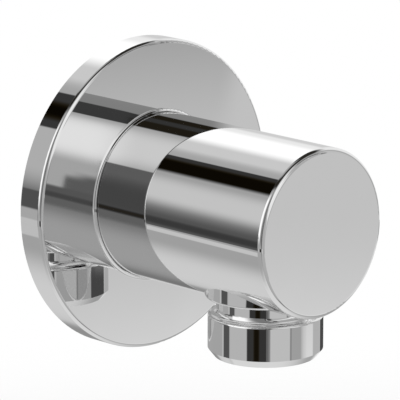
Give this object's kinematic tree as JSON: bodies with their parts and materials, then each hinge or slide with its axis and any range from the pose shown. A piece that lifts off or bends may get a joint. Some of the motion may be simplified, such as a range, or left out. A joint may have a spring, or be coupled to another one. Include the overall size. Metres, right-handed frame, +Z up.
{
  "type": "wall outlet elbow",
  "caption": "Chrome wall outlet elbow for a shower hose: round wall flange, straight cylindrical body and a short outlet collar pointing down, on a hidden wall nipple, with a check valve.",
  "frame": {"origin": "centre of the wall plane, where the axis of the body meets the finished wall", "axes": "+Y into the wall, so the body stands out along -Y; +Z up, the outlet points along -Z; +X to the right seen from the room"},
  "size_m": [0.058, 0.0646, 0.058],
  "materials": {
    "chrome": "bright polished chrome plate on brass",
    "bare_brass": "as turned, bare brass",
    "foam": "matte closed-cell foam rubber",
    "seal_rubber": "smooth black rubber",
    "fibre_seal": "matte red sealing ring",
    "screw_steel": "plain stainless steel",
    "spring_steel": "drawn stainless wire",
    "valve_plastic": "natural white moulded plastic",
    "poppet_plastic": "blue moulded plastic"
  },
  "bodies": {
    "elbow": {"wall_flange": "chrome", "flange_gasket": "foam", "flange_o_ring": "seal_rubber", "elbow_body": "chrome", "outlet_spigot": "chrome", "spigot_seal": "seal_rubber", "wall_nipple": "bare_brass", "nipple_front_o_ring": "seal_rubber", "nipple_rear_o_ring": "seal_rubber", "nipple_wall_seal": "fibre_seal", "grub_screw": "screw_steel", "valve_housing": "valve_plastic", "valve_o_ring": "seal_rubber", "valve_spring": "spring_steel", "valve_guide": "valve_plastic"},
    "poppet": {"valve_poppet": "poppet_plastic", "poppet_seal": "seal_rubber"}
  },
  "joints": [
    {"name": "poppet_lift", "type": "slide", "parent": "elbow", "child": "poppet", "axis": [0, 0, -1], "range_m": [0, 0.0022], "stiffness_N_per_m": 40, "springref_m": -0.0015, "deforming": ["valve_spring"]}
  ]
}
